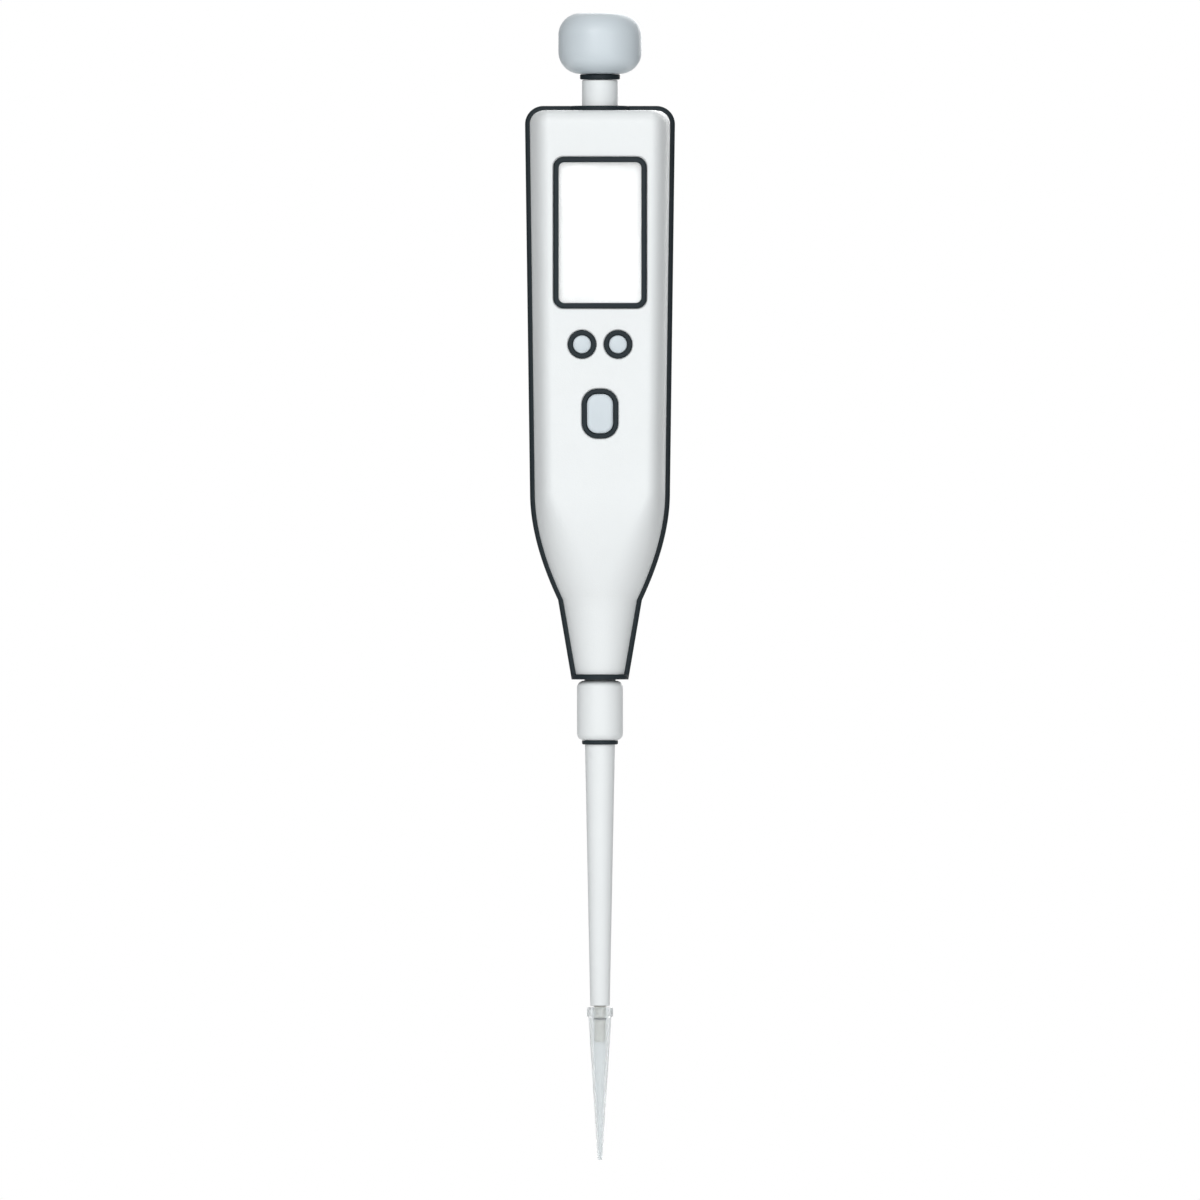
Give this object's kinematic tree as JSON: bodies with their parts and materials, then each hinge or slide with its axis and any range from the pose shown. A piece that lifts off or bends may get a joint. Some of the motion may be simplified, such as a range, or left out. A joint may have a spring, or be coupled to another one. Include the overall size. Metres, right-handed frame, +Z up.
{
  "type": "electronic pipette",
  "caption": "Handheld electronic pipette with a display, keys, a push knob on a stem, and a tapered shaft that ends in a disposable tip.",
  "frame": {"origin": "middle of the flat underside of the finger hook, which rests on the hand or on the rail of a stand", "axes": "+X across the front towards the right key, +Y out of the back, +Z up along the shaft towards the knob"},
  "size_m": [0.0376, 0.051, 0.2866],
  "materials": {
    "pale_shell": "fine satin texture",
    "blue_grey_plastic": "fine satin texture",
    "slate_rubber": "matte",
    "display_white": "smooth and blank",
    "clear_window": "polished",
    "tip_plastic": "translucent",
    "steel": "machined",
    "motor_steel": "drawn",
    "brass": "machined",
    "gold_plate": "gold plated",
    "copper_winding": "lacquered wire",
    "board_green": "solder mask",
    "grey_frame": "moulded",
    "cream_acetal": "moulded",
    "battery_wrap": "shrink wrap"
  },
  "bodies": {
    "housing": {"front_shell": "pale_shell", "rear_shell": "pale_shell", "finger_hook": "blue_grey_plastic", "shell_seal": "slate_rubber", "display_bezel": "slate_rubber", "keypad": "slate_rubber", "piston_seal": "slate_rubber", "nozzle_o_ring": "slate_rubber", "display_panel": "display_white", "display_window": "clear_window", "body_screw_1": "steel", "body_screw_2": "steel", "body_screw_3": "steel", "body_screw_4": "steel", "ejector_spring": "steel", "switch_left": "steel", "switch_right": "steel", "switch_trigger": "steel", "motor_case": "motor_steel", "motor_cover": "motor_steel", "motor_bearing_lower": "brass", "motor_bearing_upper": "brass", "seal_gland": "brass", "charge_contact_left": "gold_plate", "charge_contact_right": "gold_plate", "motor_stator": "copper_winding", "main_board": "board_green", "inner_frame": "grey_frame", "nozzle": "cream_acetal", "stem_bush": "cream_acetal", "battery_connector": "cream_acetal", "battery_cell": "battery_wrap"},
    "ejector": {"ejector_knob": "blue_grey_plastic", "knob_washer": "slate_rubber", "ejector_stem": "pale_shell", "ejector_yoke": "grey_frame", "ejector_collar": "pale_shell", "collar_end_ring": "slate_rubber", "ejector_sleeve": "pale_shell"},
    "tip": {"pipette_tip": "tip_plastic"},
    "key_left": {"key_left": "blue_grey_plastic"},
    "key_right": {"key_right": "blue_grey_plastic"},
    "trigger": {"trigger_key": "blue_grey_plastic"},
    "cover": {"battery_cover": "pale_shell"},
    "rotor": {"rotor_nut": "brass"},
    "plunger": {"lead_screw": "steel", "piston_carriage": "cream_acetal", "piston": "steel"}
  },
  "joints": [
    {"name": "ejector_press", "type": "slide", "parent": "housing", "child": "ejector", "axis": [0, 0, -1], "range_m": [0, 0.006], "stiffness_N_per_m": 600, "springref_m": -0.01, "deforming": ["ejector_spring"]},
    {"name": "tip_pull", "type": "slide", "parent": "ejector", "child": "tip", "axis": [0, 0, -1], "range_m": [0, 0.01]},
    {"name": "key_left_press", "type": "slide", "parent": "housing", "child": "key_left", "axis": [0, 1, 0], "range_m": [0, 0.0006], "stiffness_N_per_m": 1500, "springref_m": -0.0006},
    {"name": "key_right_press", "type": "slide", "parent": "housing", "child": "key_right", "axis": [0, 1, 0], "range_m": [0, 0.0006], "stiffness_N_per_m": 1500, "springref_m": -0.0006},
    {"name": "trigger_press", "type": "slide", "parent": "housing", "child": "trigger", "axis": [0, 1, 0], "range_m": [0, 0.001], "stiffness_N_per_m": 1200, "springref_m": -0.0008},
    {"name": "cover_pull", "type": "slide", "parent": "housing", "child": "cover", "axis": [0, 1, 0], "range_m": [0, 0.01]},
    {"name": "rotor_spin", "type": "hinge", "parent": "housing", "child": "rotor", "pos_m": [0, -0.0256, -0.066], "axis": [0, 0, 1], "range_deg": [0, 2160]},
    {"name": "piston_slide", "type": "slide", "parent": "housing", "child": "plunger", "axis": [0, 0, 1], "range_m": [0, 0.012]}
  ],
  "couplings": [
    {"joint": "rotor_spin", "follows": "piston_slide", "rad_per_m": 3141.6}
  ]
}
